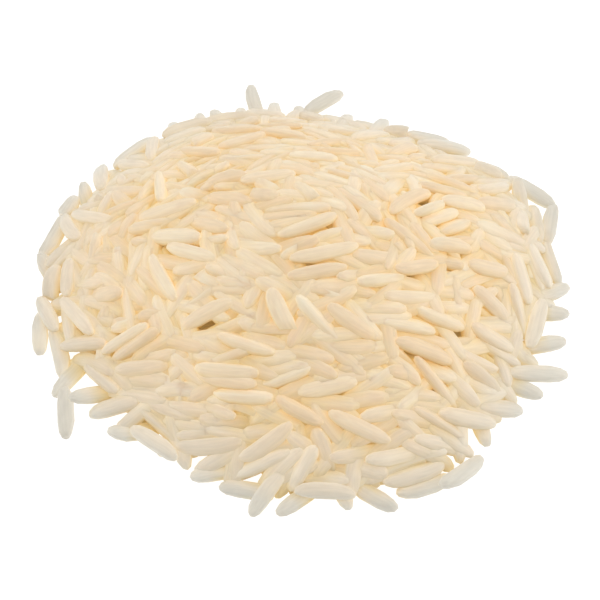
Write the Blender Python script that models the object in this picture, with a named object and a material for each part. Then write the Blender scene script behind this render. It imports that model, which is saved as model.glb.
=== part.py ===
"""A heap of uncooked long-grain white rice, as it lies on a table, in one solid.

The heap is poured grain by grain on a height map. The grains that show most are then
fused onto a core that fills the heap up to just under its surface.
Metres, +Z up. The origin is the middle of the flat base, and -Y is the heap's front.
"""

import math
from dataclasses import dataclass

import bmesh
import bpy
import numpy as np
from mathutils import Matrix, Vector

MM = 0.001

# The mound that the pouring fills.
HEAP_RADIUS = 33.8 * MM
HEAP_HEIGHT = 15.0 * MM
SUMMIT_ROUNDING = 0.35
# The foot is one kernel thick nearly out to the outline.
FOOT_HEIGHT = 1.5 * MM
FOOT_SHARE = 0.97
# Waves of the outline round the heap: how many, share of the radius, direction of a crest.
OUTLINE_WAVES = (
    (1, 0.004, 1.50),
    (2, 0.054, -0.38),
    (3, 0.025, 1.78),
    (4, 0.028, 1.38),
    (5, 0.011, 1.94),
)

# One average kernel, and how unevenly the kernels have grown.
GRAIN_LENGTH = 7.1 * MM
GRAIN_WIDTH = 2.2 * MM
GRAIN_THICKNESS = 1.7 * MM
LENGTH_SPREAD = 0.09
WIDTH_SPREAD = 0.06
BROKEN_SHARE = 0.07

# Pouring.
SEED = 7
CELL = 0.3 * MM
GRID_REACH = 42.0 * MM
POUR_DEPTH = 4.0 * MM
HEADINGS_TRIED = 12
LINED_UP_SHARE = 0.85
LINED_UP_SPREAD = math.radians(22.0)
STOP_GAP = 0.45 * MM
SURFACE_JITTER = 0.3 * MM
HIGHEST_REST = 1.1 * MM
HOLE_SKIPPED = 0.8 * MM
STEEPEST_TILT = math.radians(36.0)

# Kernels of the rim that stand out: direction from the middle, distance, heading from +X and
# length. Directions and headings are in degrees, the other two in millimetres.
RIM_GRAINS = (
    (101, 34.6, 104, 7.4),
    (84, 33.4, 38, 7.0),
    (136, 33.6, 46, 7.4),
    (127, 31.0, 101, 7.2),
    (155, 33.2, 108, 7.4),
    (167, 36.0, 72, 7.4),
    (177, 34.8, 121, 6.6),
    (193, 35.2, 97, 6.2),
    (199, 33.4, 107, 7.2),
    (206, 32.4, 54, 7.4),
    (214, 35.6, 97, 6.5),
    (214, 31.0, 18, 6.9),
    (227, 30.2, 6, 6.6),
    (240, 28.4, 15, 6.6),
    (250, 29.8, 11, 6.2),
    (258, 31.2, 170, 6.4),
    (263, 32.8, 52, 6.2),
    (270, 32.4, 37, 6.6),
    (279, 29.9, 111, 6.8),
    (286, 32.2, 149, 6.4),
    (297, 33.4, 18, 6.8),
    (305, 34.4, 41, 7.3),
    (317, 30.8, 106, 6.6),
    (322, 31.6, 5, 6.6),
    (330, 32.1, 158, 6.4),
    (335, 33.8, 5, 7.6),
    (343, 32.9, 11, 6.6),
    (352, 32.6, 176, 6.8),
    (357, 33.4, 28, 6.8),
    (6, 34.7, 100, 6.8),
    (16, 36.6, 76, 7.2),
    (26, 36.8, 140, 7.6),
    (24, 34.0, 95, 7.2),
    (36, 33.6, 154, 6.4),
)

# The faceted solid.
FUSED_GRAINS = 282
SUMMIT_HEIGHT = 14.4 * MM
GRAIN_SIDES = 6
FUSED_SINK = 0.22 * MM
# Kernels whose axes lie closer than two touch radii are joined. Loose ones move by nudges.
TOUCH_RADIUS = 0.65 * MM
NUDGE = 0.2 * MM
NUDGES = 16
# Undersides cut by the floor lie at a few different heights, so no two are in one plane.
FLOOR_CLEARANCE = 0.03 * MM
FLOOR_STEP = 0.013 * MM
FLOOR_STEPS = 11
CORE_RADIUS_SHARE = 0.91
CORE_SECTORS = 44
CORE_RINGS = 10
CORE_DEPTH = 0.3 * MM


@dataclass
class Grain:
    """One kernel at rest: its middle, its turns and its sizes."""

    x: float
    y: float
    z: float
    heading: float
    pitch: float
    roll: float
    length: float
    width: float
    thickness: float


def outline_share(angle):
    """Radius of the heap's outline in a direction, as a share of its mean radius."""
    share = np.ones_like(np.asarray(angle, dtype=float))
    for count, size, crest in OUTLINE_WAVES:
        share = share + size * np.cos(count * angle - crest)
    return share


def mound_height(x, y):
    """Height of the mound: a cone of even slope with a rounded summit and a thin foot.

    Outside the outline the cone goes on below the floor.
    """
    reach = np.hypot(x, y) / (HEAP_RADIUS * outline_share(np.arctan2(y, x)))
    blunt = math.hypot(1.0, SUMMIT_ROUNDING)
    cone = (blunt - np.sqrt(reach**2 + SUMMIT_ROUNDING**2)) / (blunt - SUMMIT_ROUNDING)
    foot = np.where(reach < FOOT_SHARE, FOOT_HEIGHT, -HEAP_HEIGHT)
    return np.maximum(HEAP_HEIGHT * cone, foot)


def grain_bulge(along):
    """Half width of a kernel at a share -1..1 of its half length, as a share of the widest."""
    return np.sqrt(np.maximum(0.0, 1.0 - np.abs(along) ** 4.0))


class HeapSurface:
    """Height map of the heap seen from above, with the number of the kernel on top of each cell."""

    def __init__(self):
        """Starts with the deep inside of the mound, on which no kernel needs to be poured."""
        ticks = np.arange(-GRID_REACH, GRID_REACH, CELL)
        self.x, self.y = np.meshgrid(ticks, ticks, indexing="ij")
        self.height = np.maximum(mound_height(self.x, self.y) - POUR_DEPTH, 0.0)
        self.owner = np.full(self.x.shape, -1)

    def index(self, values):
        """Cell numbers of positions along one axis."""
        return np.clip(((values + GRID_REACH) / CELL).round().astype(int), 0, len(self.x) - 1)

    def sample(self, x, y):
        """Heights at the given positions."""
        return self.height[self.index(x), self.index(y)]

    def add(self, grain, number):
        """Raises the map to the top of a kernel that has come to rest."""
        reach = 0.5 * grain.length + CELL
        first_row, last_row = self.index(np.array([grain.x - reach, grain.x + reach]))
        first_column, last_column = self.index(np.array([grain.y - reach, grain.y + reach]))
        rows = slice(first_row, last_row + 1)
        columns = slice(first_column, last_column + 1)
        dx = self.x[rows, columns] - grain.x
        dy = self.y[rows, columns] - grain.y
        along = dx * math.cos(grain.heading) + dy * math.sin(grain.heading)
        across = dy * math.cos(grain.heading) - dx * math.sin(grain.heading)
        half_length = 0.5 * grain.length * math.cos(grain.pitch)
        bulge = grain_bulge(np.clip(along / half_length, -1.0, 1.0))
        lift = bulge**2 - (2.0 * across / grain.width) ** 2
        top = grain.z + math.tan(grain.pitch) * along + math.tan(grain.roll) * across
        top = top + 0.5 * grain.thickness * np.sqrt(np.maximum(lift, 0.0))
        raised = (lift > 0.0) & (top > self.height[rows, columns])
        self.height[rows, columns][raised] = top[raised]
        self.owner[rows, columns][raised] = number


def grain_sizes(rng):
    """Length, width and thickness of the next kernel, some of them broken short."""
    length = GRAIN_LENGTH * (1.0 + LENGTH_SPREAD * np.clip(rng.normal(), -2.0, 2.0))
    width = GRAIN_WIDTH * (1.0 + WIDTH_SPREAD * np.clip(rng.normal(), -2.0, 2.0))
    if rng.random() < BROKEN_SHARE:
        length = length * rng.uniform(0.5, 0.75)
    return length, width, width * GRAIN_THICKNESS / GRAIN_WIDTH


def lean_of(stations, lows):
    """Slope at which a kernel comes to rest on the lows under its stations.

    It rests on one point on each side of its middle, or rocks over its middle to the nearer side.
    """
    left = stations < -1e-9
    right = stations > 1e-9
    middle = lows[np.argmin(np.abs(stations))]
    left_s, left_h = stations[left][:, None], lows[left][:, None]
    right_s, right_h = stations[right][None, :], lows[right][None, :]
    chords = (left_h * right_s - right_h * left_s) / (right_s - left_s)
    row, column = np.unravel_index(np.argmax(chords), chords.shape)
    if chords[row, column] >= middle:
        return (right_h[0, column] - left_h[row, 0]) / (right_s[0, column] - left_s[row, 0])
    up = np.max((lows[right] - middle) / stations[right])
    down = np.min((lows[left] - middle) / stations[left])
    return up if abs(up) < abs(down) else down


def settle(surface, x, y, heading, sizes, roll_noise):
    """Lowers a kernel straight down onto the surface, and returns it at rest."""
    length, width, thickness = sizes
    shares = np.linspace(-0.92, 0.92, 13)
    sides = np.array([-0.6, 0.0, 0.6])
    along = 0.5 * length * shares
    across = 0.5 * width * sides
    cos, sin = math.cos(heading), math.sin(heading)
    grid_x = x + along[:, None] * cos - across[None, :] * sin
    grid_y = y + along[:, None] * sin + across[None, :] * cos
    ground = surface.sample(grid_x, grid_y)
    side_slope = (ground[3:10, 2].mean() - ground[3:10, 0].mean()) / (across[2] - across[0])
    roll = math.atan(float(np.clip(0.8 * side_slope, -0.6, 0.6))) + roll_noise
    lift = np.sqrt(np.maximum(0.0, grain_bulge(shares)[:, None] ** 2 - sides[None, :] ** 2))
    lows = (ground + 0.5 * thickness * lift - math.tan(roll) * across[None, :]).max(axis=1)
    steepest = math.tan(STEEPEST_TILT)
    slope = float(np.clip(lean_of(along, lows), -steepest, steepest))
    height = float(np.max(lows - slope * along))
    return Grain(x, y, height, heading, math.atan(slope), roll, length, width, thickness)


def height_over_mound(grain):
    """How far a kernel's middle or either end stands above the mound."""
    along = 0.4 * grain.length * np.array([-1.0, 0.0, 1.0])
    x = grain.x + along * math.cos(grain.heading)
    y = grain.y + along * math.sin(grain.heading)
    return float(np.max(grain.z + math.tan(grain.pitch) * along - mound_height(x, y)))


def draw_headings(rng, x):
    """Headings to try: most of them lie across the front view, or along the rim at both sides."""
    turn = np.radians(rng.uniform(0.0, 180.0, HEADINGS_TRIED))
    lined_up = rng.random(HEADINGS_TRIED) < LINED_UP_SHARE
    along = math.pi / 2.0 if abs(x) > 0.8 * HEAP_RADIUS else 0.0
    spread = LINED_UP_SPREAD * rng.normal(size=HEADINGS_TRIED)
    return np.where(lined_up, along + spread, turn)


def pour_heap():
    """Drops kernels one at a time where the heap is lowest under its mound.

    Returns the kernels in their order and the final surface.
    """
    rng = np.random.default_rng(SEED)
    surface = HeapSurface()
    grains = []
    for direction, distance, heading, length in RIM_GRAINS:
        x = distance * MM * math.cos(math.radians(direction))
        y = distance * MM * math.sin(math.radians(direction))
        sizes = (length * MM, GRAIN_WIDTH, GRAIN_THICKNESS)
        grains.append(settle(surface, x, y, math.radians(heading), sizes, 0.0))
        surface.add(grains[-1], len(grains) - 1)
    target = mound_height(surface.x, surface.y)
    target = target + SURFACE_JITTER * rng.normal(size=target.shape) * (target > 0.0)
    while True:
        gap = target - surface.height
        row, column = np.unravel_index(np.argmax(gap), gap.shape)
        if gap[row, column] < STOP_GAP:
            return grains, surface
        x, y = float(surface.x[row, column]), float(surface.y[row, column])
        sizes = grain_sizes(rng)
        roll = 0.15 * rng.normal()
        tries = [settle(surface, x, y, turn, sizes, roll) for turn in draw_headings(rng, x)]
        best = min(tries, key=height_over_mound)
        if height_over_mound(best) > HIGHEST_REST:
            target[np.hypot(surface.x - x, surface.y - y) < HOLE_SKIPPED] = 0.0
            continue
        grains.append(best)
        surface.add(best, len(grains) - 1)


def distance_apart(first, second):
    """Distance between the middles of two kernels, seen from above."""
    return math.hypot(first.x - second.x, first.y - second.y)


def showing_grains(grains, surface):
    """The kernels to fuse: rim and summit first, then the ones that show most, spread evenly."""
    shown = np.bincount(surface.owner[surface.owner >= 0], minlength=len(grains))
    summit = [number for number, grain in enumerate(grains) if grain.z > SUMMIT_HEIGHT]
    chosen = list(range(len(RIM_GRAINS))) + summit
    order = np.argsort(-shown, kind="stable")
    spacing = 0.75 * GRAIN_LENGTH
    while len(chosen) < FUSED_GRAINS:
        for number in order:
            if number in chosen or len(chosen) >= FUSED_GRAINS:
                continue
            if min(distance_apart(grains[number], grains[other]) for other in chosen) > spacing:
                chosen.append(number)
        spacing = 0.9 * spacing
    return [grains[number] for number in chosen]


def core_height(x, y):
    """Height of the core's top, and a height under the floor outside the core."""
    radius = CORE_RADIUS_SHARE * HEAP_RADIUS * outline_share(np.arctan2(y, x))
    return np.where(np.hypot(x, y) < radius, mound_height(x, y) - CORE_DEPTH, -HEAP_HEIGHT)


def axis_points(grain):
    """Points along the axis of a kernel, short of its tips."""
    heading = np.array([math.cos(grain.heading), math.sin(grain.heading), math.tan(grain.pitch)])
    reach = 0.36 * grain.length * math.cos(grain.pitch)
    return np.array([grain.x, grain.y, grain.z]) + reach * np.linspace(-1.0, 1.0, 9)[:, None] * heading


def held_grains(grains):
    """Whether each kernel hangs together with the core, directly or through others."""
    points = np.array([axis_points(grain) for grain in grains])
    under = points[..., 2] - FUSED_SINK - TOUCH_RADIUS
    held = np.any(under < core_height(points[..., 0], points[..., 1]), axis=1)
    fresh = np.flatnonzero(held)
    while len(fresh):
        waiting = np.flatnonzero(~held)
        gaps = points[waiting][:, None, :, None, :] - points[fresh][None, :, None, :, :]
        nearest = np.sqrt((gaps**2).sum(axis=-1)).min(axis=(1, 2, 3)) if len(waiting) else np.zeros(0)
        fresh = waiting[nearest < 2.0 * TOUCH_RADIUS]
        held[fresh] = True
    return held


def gather(grains):
    """Lowers loose kernels where the core lies under them, and moves the others inward."""
    for _ in range(NUDGES):
        for grain, held in zip(grains, held_grains(grains)):
            if held:
                continue
            if core_height(grain.x, grain.y) > 0.0:
                grain.z = grain.z - NUDGE
            else:
                share = 1.0 - NUDGE / math.hypot(grain.x, grain.y)
                grain.x = grain.x * share
                grain.y = grain.y * share
    return grains


def clear_scene():
    """Removes the objects of the startup file."""
    for item in list(bpy.data.objects):
        bpy.data.objects.remove(item, do_unlink=True)


def add_object(name, vertices, faces, collection):
    """Makes a mesh object with faces that point outward."""
    mesh = bpy.data.meshes.new(name)
    mesh.from_pydata([tuple(vertex) for vertex in vertices], [], faces)
    mesh.update()
    item = bpy.data.objects.new(name, mesh)
    collection.objects.link(item)
    return item


def add_grain(grain, number, collection):
    """One faceted kernel: two six-sided rings and two tips."""
    rings = (-0.56, 0.60)
    points = [Vector((-0.5 * grain.length, 0.0, 0.0))]
    for share in rings:
        size = 1.06 * float(grain_bulge(share))
        for side in range(GRAIN_SIDES):
            turn = math.tau * (side + 0.5) / GRAIN_SIDES
            across = 0.5 * grain.width * size * math.cos(turn)
            up = 0.5 * grain.thickness * size * math.sin(turn)
            points.append(Vector((0.5 * grain.length * share, across, up)))
    points.append(Vector((0.5 * grain.length, 0.0, 0.0)))
    turn = Matrix.Rotation(grain.heading, 3, "Z") @ Matrix.Rotation(-grain.pitch, 3, "Y")
    turn = turn @ Matrix.Rotation(grain.roll, 3, "X")
    place = Vector((grain.x, grain.y, grain.z - FUSED_SINK))
    vertices = [turn @ point + place for point in points]
    for vertex in vertices:
        vertex.z = max(vertex.z, FLOOR_CLEARANCE + FLOOR_STEP * (number % FLOOR_STEPS))
    faces = []
    last = len(vertices) - 1
    for side in range(GRAIN_SIDES):
        after = (side + 1) % GRAIN_SIDES
        first, second = 1 + side, 1 + after
        third, fourth = 1 + GRAIN_SIDES + side, 1 + GRAIN_SIDES + after
        faces.append((0, second, first))
        faces.append((first, second, fourth, third))
        faces.append((last, third, fourth))
    return add_object(f"grain_{number:03d}", vertices, faces, collection)


def add_core():
    """The core: a low mound with a flat base, its top just under the poured surface."""
    vertices = []
    for ring in range(CORE_RINGS + 1):
        for sector in range(CORE_SECTORS):
            angle = math.tau * (sector + 0.5 * (ring % 2)) / CORE_SECTORS
            reach = HEAP_RADIUS * CORE_RADIUS_SHARE * float(outline_share(angle)) * ring / CORE_RINGS
            x, y = reach * math.cos(angle), reach * math.sin(angle)
            height = float(mound_height(x, y)) - CORE_DEPTH
            vertices.append((x, y, height))
            if ring == 0:
                break
    outer = len(vertices) - CORE_SECTORS
    base = len(vertices)
    vertices += [(x, y, 0.0) for x, y, _ in vertices[outer:]]
    faces = []
    for sector in range(CORE_SECTORS):
        after = (sector + 1) % CORE_SECTORS
        faces.append((0, 1 + sector, 1 + after))
        for ring in range(1, CORE_RINGS):
            inner = 1 + (ring - 1) * CORE_SECTORS
            outside = inner + CORE_SECTORS
            if ring % 2:
                faces.append((inner + sector, outside + sector, outside + after))
                faces.append((inner + sector, outside + after, inner + after))
            else:
                faces.append((inner + sector, outside + sector, inner + after))
                faces.append((inner + after, outside + sector, outside + after))
        faces.append((outer + sector, base + sector, base + after, outer + after))
    faces.append(tuple(base + CORE_SECTORS - 1 - sector for sector in range(CORE_SECTORS)))
    return add_object("rice_heap", vertices, faces, bpy.context.scene.collection)


def keep_largest_shell(item):
    """Drops loose scraps and sealed hollows: only the shell with most vertices stays."""
    shape = bmesh.new()
    shape.from_mesh(item.data)
    unseen = set(shape.verts)
    shells = []
    while unseen:
        shell = {unseen.pop()}
        edge_of_shell = list(shell)
        while edge_of_shell:
            vertex = edge_of_shell.pop()
            for edge in vertex.link_edges:
                other = edge.other_vert(vertex)
                if other in unseen:
                    unseen.remove(other)
                    shell.add(other)
                    edge_of_shell.append(other)
        shells.append(shell)
    shells.sort(key=len)
    scraps = [vertex for shell in shells[:-1] for vertex in shell]
    bmesh.ops.delete(shape, geom=scraps, context="VERTS")
    bmesh.ops.triangulate(shape, faces=shape.faces)
    shape.to_mesh(item.data)
    shape.free()


def fuse(core, collection):
    """Joins the kernels of the collection onto the core."""
    union = core.modifiers.new("fuse", "BOOLEAN")
    union.operation = "UNION"
    union.operand_type = "COLLECTION"
    union.collection = collection
    union.solver = "MANIFOLD"
    bpy.context.view_layer.objects.active = core
    bpy.ops.object.modifier_apply(modifier=union.name)
    for item in list(collection.objects):
        bpy.data.objects.remove(item, do_unlink=True)
    bpy.data.collections.remove(collection)


def rice_material():
    """Dry, slightly glossy cream."""
    material = bpy.data.materials.new("rice_cream")
    material.use_nodes = True
    shader = material.node_tree.nodes["Principled BSDF"]
    shader.inputs["Base Color"].default_value = (0.84, 0.69, 0.47, 1.0)
    shader.inputs["Roughness"].default_value = 0.45
    shader.inputs["Metallic"].default_value = 0.0
    return material


def main():
    """Pours the heap, fuses its solid and gives it its material."""
    clear_scene()
    grains, surface = pour_heap()
    fused = bpy.data.collections.new("fused")
    bpy.context.scene.collection.children.link(fused)
    for number, grain in enumerate(gather(showing_grains(grains, surface))):
        add_grain(grain, number, fused)
    heap = add_core()
    fuse(heap, fused)
    keep_largest_shell(heap)
    heap.data.materials.append(rice_material())


main()
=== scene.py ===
"""Looks of a heap of uncooked long-grain white rice.

Every kernel is poured by the same rule as the solid: it is dropped where the heap is lowest
under its mound and comes to rest on the kernels below. Lengths are in metres, +Z is up, the
origin is the middle of the base and -Y is the front.
"""

import logging
import math
from dataclasses import dataclass, field
from enum import Enum

import bpy
import numpy as np
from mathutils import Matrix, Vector
from numpy.typing import NDArray


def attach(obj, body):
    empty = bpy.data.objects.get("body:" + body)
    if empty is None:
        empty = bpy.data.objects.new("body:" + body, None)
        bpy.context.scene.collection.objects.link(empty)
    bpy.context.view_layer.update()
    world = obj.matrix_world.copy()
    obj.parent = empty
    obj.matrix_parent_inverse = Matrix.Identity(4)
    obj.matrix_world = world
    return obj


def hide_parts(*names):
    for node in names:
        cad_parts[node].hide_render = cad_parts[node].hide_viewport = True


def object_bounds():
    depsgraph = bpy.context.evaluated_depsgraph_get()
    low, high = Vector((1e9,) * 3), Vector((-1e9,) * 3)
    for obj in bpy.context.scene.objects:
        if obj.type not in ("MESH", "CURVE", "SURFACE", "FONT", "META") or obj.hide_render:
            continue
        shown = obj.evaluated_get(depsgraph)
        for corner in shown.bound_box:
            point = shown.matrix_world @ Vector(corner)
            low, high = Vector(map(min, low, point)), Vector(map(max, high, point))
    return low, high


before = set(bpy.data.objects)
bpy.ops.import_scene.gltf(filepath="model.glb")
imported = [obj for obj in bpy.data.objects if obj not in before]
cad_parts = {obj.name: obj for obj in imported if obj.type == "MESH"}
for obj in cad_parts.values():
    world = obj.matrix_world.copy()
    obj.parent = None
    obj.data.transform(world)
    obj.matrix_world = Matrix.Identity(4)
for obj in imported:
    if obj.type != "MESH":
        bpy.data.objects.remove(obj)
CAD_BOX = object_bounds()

log = logging.getLogger("rice_heap")

Array = NDArray[np.float64]
Whole = NDArray[np.int64]
Color = tuple[float, float, float, float]
Socket = bpy.types.NodeSocket
MM = 0.001


class KernelKind(Enum):
    """The two kinds of kernel in the heap."""

    WHOLE = "whole_kernels"
    BROKEN = "broken_kernels"


Sizes = tuple[float, float, float, KernelKind]


@dataclass
class Kernel:
    """One kernel at rest: its middle, its turns in radians, its sizes and its kind."""

    x: float
    y: float
    z: float
    heading: float
    pitch: float
    roll: float
    length: float
    width: float
    thickness: float
    kind: KernelKind = KernelKind.WHOLE


@dataclass(frozen=True)
class Mound:
    """The form that the poured rice takes up.

    Attributes:
        radius: mean radius of the outline.
        height: height of the summit.
        rounding: how blunt the summit is, as a share of the radius.
        foot_height: thickness of the foot, about one kernel.
        foot_share: how far out the foot reaches, as a share of the outline.
        waves: waves of the outline: how many round the heap, share of the radius, crest in radians.
    """

    radius: float = 33.8 * MM
    height: float = 15.0 * MM
    rounding: float = 0.35
    foot_height: float = 1.5 * MM
    foot_share: float = 0.97
    waves: tuple[tuple[int, float, float], ...] = (
        (1, 0.004, 1.50),
        (2, 0.054, -0.38),
        (3, 0.025, 1.78),
        (4, 0.028, 1.38),
        (5, 0.011, 1.94),
    )

    def outline_share(self, angle: Array) -> Array:
        """Radius of the outline in a direction, as a share of the mean radius.

        Args:
            angle: directions in radians.

        Returns:
            One plus the sum of the cosine waves.
        """
        share = np.ones_like(np.asarray(angle, dtype=float))
        for count, size, crest in self.waves:
            share = share + size * np.cos(count * angle - crest)
        return share

    def height_at(self, x: Array, y: Array) -> Array:
        """Height of the mound over the floor.

        The form is a hyperbola turned round the middle: a cone of even slope with a rounded
        summit. It has a thin foot, and outside the outline the cone goes on below the floor.

        Args:
            x: positions along X.
            y: positions along Y.

        Returns:
            Heights in metres.
        """
        reach = np.hypot(x, y) / (self.radius * self.outline_share(np.arctan2(y, x)))
        blunt = math.hypot(1.0, self.rounding)
        cone = (blunt - np.sqrt(reach**2 + self.rounding**2)) / (blunt - self.rounding)
        foot = np.where(reach < self.foot_share, self.foot_height, -self.height)
        return np.maximum(self.height * cone, foot)


def kernel_bulge(along: Array, bluntness: float = 4.0) -> Array:
    """Half width of a kernel at a share -1..1 of its half length: one minus a power, rooted."""
    return np.sqrt(np.maximum(0.0, 1.0 - np.abs(along) ** bluntness))


class HeapSurface:
    """Height map of the heap seen from above."""

    def __init__(self, start: Array, reach: float, cell: float) -> None:
        """Lays out the map.

        Args:
            start: heights to begin with, one for each cell.
            reach: half the width of the map.
            cell: width of a cell.
        """
        self.reach = reach
        self.cell = cell
        self.x, self.y = self.grid(reach, cell)
        self.height = start.copy()

    @staticmethod
    def grid(reach: float, cell: float) -> tuple[Array, Array]:
        """Positions of the cells of a square map, with X along the rows."""
        ticks = np.arange(-reach, reach, cell)
        x, y = np.meshgrid(ticks, ticks, indexing="ij")
        return x, y

    def index(self, values: Array) -> Whole:
        """Cell numbers of positions along one axis."""
        return np.clip(((values + self.reach) / self.cell).round().astype(int), 0, len(self.x) - 1)

    def sample(self, x: Array, y: Array) -> Array:
        """Heights at the given positions."""
        return self.height[self.index(x), self.index(y)]

    def footprint(self, kernel: Kernel) -> tuple[tuple[slice, slice], Array, NDArray[np.bool_]]:
        """Works out the top of a kernel on the cells below it.

        The top is the tilted plane of the kernel's middle plus half its thickness times the
        root of its bulge squared less the share across squared.

        Args:
            kernel: the kernel.

        Returns:
            The window of cells round the kernel, its top there and which cells it covers.
        """
        reach = 0.5 * kernel.length + self.cell
        first_row, last_row = self.index(np.array([kernel.x - reach, kernel.x + reach]))
        first_column, last_column = self.index(np.array([kernel.y - reach, kernel.y + reach]))
        rows = slice(first_row, last_row + 1)
        columns = slice(first_column, last_column + 1)
        dx = self.x[rows, columns] - kernel.x
        dy = self.y[rows, columns] - kernel.y
        along = dx * math.cos(kernel.heading) + dy * math.sin(kernel.heading)
        across = dy * math.cos(kernel.heading) - dx * math.sin(kernel.heading)
        half_length = 0.5 * kernel.length * math.cos(kernel.pitch)
        bulge = kernel_bulge(np.clip(along / half_length, -1.0, 1.0))
        lift = bulge**2 - (2.0 * across / kernel.width) ** 2
        top = kernel.z + math.tan(kernel.pitch) * along + math.tan(kernel.roll) * across
        top = top + 0.5 * kernel.thickness * np.sqrt(np.maximum(lift, 0.0))
        return (rows, columns), top, lift > 0.0

    def add(self, kernel: Kernel) -> None:
        """Raises the map to the top of a kernel that has come to rest."""
        window, top, covered = self.footprint(kernel)
        raised = covered & (top > self.height[window])
        self.height[window][raised] = top[raised]

    def shown(self, kernel: Kernel) -> float:
        """How much of a kernel would stand over the map, in square metres of its cells."""
        window, top, covered = self.footprint(kernel)
        return float((covered & (top > self.height[window])).sum()) * self.cell**2

    def averaged(self, width: float) -> Array:
        """The map averaged over a square, by running sums along both axes.

        Args:
            width: width of the square.

        Returns:
            Averaged heights, one for each cell.
        """
        cells = max(1, int(round(0.5 * width / self.cell)))
        total = self.height
        for axis in (0, 1):
            zero = np.zeros_like(total.take([0], axis))
            sums = np.concatenate([zero, np.cumsum(total, axis)], axis)
            count = total.shape[axis]
            upper = np.minimum(np.arange(count) + cells + 1, count)
            lower = np.maximum(np.arange(count) - cells, 0)
            total = (sums.take(upper, axis) - sums.take(lower, axis)) / (2 * cells + 1)
        return total


@dataclass
class Pouring:
    """The rule that pours the heap, kernel by kernel.

    Attributes:
        mound: the form to fill.
        seed: seed of the random draw.
        length, width, thickness: sizes of an average kernel.
        length_spread, width_spread: spread of those sizes, as a share.
        broken_share: share of broken kernels.
        broken_length: shortest and longest broken kernel, as a share of a whole one.
        cell, reach: cell width and half width of the height map.
        depth: how deep under the mound the pouring starts.
        headings_tried: headings tried for each kernel, the lowest rest wins.
        lined_up: share of headings that lie across the front view, or along the rim at the sides.
        heading_spread: spread of those headings, in radians.
        side_reach: where the sides begin, as a share of the mound's radius.
        roll_spread: spread of a kernel's turn round its length, in radians.
        probe_reach: how far out the ground is read along a kernel, as a share of its half length.
        probe_side: how far out it is read across, as a share of its half width.
        roll_follow: share of the ground's side slope that a kernel leans to.
        steepest_roll: slope of the steepest sideways lean.
        stop_gap: the pouring ends where no cell is lower than this under its mark.
        jitter: unevenness of the marks.
        highest_rest: how far a kernel's axis may stand over the mound.
        hole_skipped: radius of a hole that no kernel fits into.
        bed_depths: how deep under the mound the layers of kernels lie that fill the gaps.
        bed_gap: a layer ends where no gap is deeper than this under it.
        bed_edge: height of the mound at the edge of the layers.
        bed_lined_up: share of headings across the front view in the middle of a layer.
        bed_spread: spread of those headings, in radians.
        bed_tilts: spread of the extra pitch and roll of a layer's kernels, in radians.
        least_shown: a kernel of a layer is left out if less of it would show.
        base_depth: how deep the kernels under the core lie, in thicknesses of a kernel.
        steepest: steepest lean of a kernel.
        rim: kernels of the rim that stand out: direction from the middle and distance,
            heading from +X and length, in degrees and millimetres.
        skyline: kernels on the back that point away, so their ends show over the others:
            direction and distance from the middle and heading, in the same units.
        skyline_height: how far they stand over the mound.
        skyline_tilt: how far they lift their outer ends.
    """

    mound: Mound = field(default_factory=Mound)
    seed: int = 7
    length: float = 7.1 * MM
    width: float = 2.2 * MM
    thickness: float = 1.7 * MM
    length_spread: float = 0.09
    width_spread: float = 0.06
    broken_share: float = 0.07
    broken_length: tuple[float, float] = (0.5, 0.75)
    cell: float = 0.3 * MM
    reach: float = 42.0 * MM
    depth: float = 4.0 * MM
    headings_tried: int = 12
    lined_up: float = 0.85
    heading_spread: float = math.radians(22.0)
    side_reach: float = 0.8
    roll_spread: float = 0.15
    probe_reach: float = 0.92
    probe_side: float = 0.6
    roll_follow: float = 0.8
    steepest_roll: float = 0.6
    stop_gap: float = 0.45 * MM
    jitter: float = 0.3 * MM
    highest_rest: float = 1.1 * MM
    hole_skipped: float = 0.8 * MM
    bed_depths: tuple[float, ...] = (0.8 * MM, 0.1 * MM, -0.45 * MM, -0.9 * MM)
    bed_gap: float = 0.5 * MM
    bed_edge: float = 2.2 * MM
    bed_lined_up: float = 0.9
    bed_spread: float = 0.45
    bed_tilts: tuple[float, float] = (0.08, 0.12)
    least_shown: float = 4.5 * MM**2
    base_depth: float = 1.5
    steepest: float = math.radians(36.0)
    rim: tuple[tuple[float, float, float, float], ...] = (
        (101, 34.6, 104, 7.4),
        (84, 33.4, 38, 7.0),
        (136, 33.6, 46, 7.4),
        (127, 31.0, 101, 7.2),
        (155, 33.2, 108, 7.4),
        (167, 36.0, 72, 7.4),
        (177, 34.8, 121, 6.6),
        (193, 35.2, 97, 6.2),
        (199, 33.4, 107, 7.2),
        (206, 32.4, 54, 7.4),
        (214, 35.6, 97, 6.5),
        (214, 31.0, 18, 6.9),
        (227, 30.2, 6, 6.6),
        (240, 28.4, 15, 6.6),
        (250, 29.8, 11, 6.2),
        (258, 31.2, 170, 6.4),
        (263, 32.8, 52, 6.2),
        (270, 32.4, 37, 6.6),
        (279, 29.9, 111, 6.8),
        (286, 32.2, 149, 6.4),
        (297, 33.4, 18, 6.8),
        (305, 34.4, 41, 7.3),
        (317, 30.8, 106, 6.6),
        (322, 31.6, 5, 6.6),
        (330, 32.1, 158, 6.4),
        (335, 33.8, 5, 7.6),
        (343, 32.9, 11, 6.6),
        (352, 32.6, 176, 6.8),
        (357, 33.4, 28, 6.8),
        (6, 34.7, 100, 6.8),
        (16, 36.6, 76, 7.2),
        (26, 36.8, 140, 7.6),
        (24, 34.0, 95, 7.2),
        (36, 33.6, 154, 6.4),
    )
    skyline: tuple[tuple[float, float, float], ...] = (
        (97, 30.2, 96),
        (91, 29.0, 84),
        (77, 28.6, 72),
        (67, 29.4, 66),
        (124, 31.8, 112),
        (118, 31.0, 100),
        (111, 30.8, 126),
        (107, 29.8, 96),
        (57, 28.2, 84),
    )
    skyline_height: float = 0.6 * MM
    skyline_tilt: float = math.radians(10.0)

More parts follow.
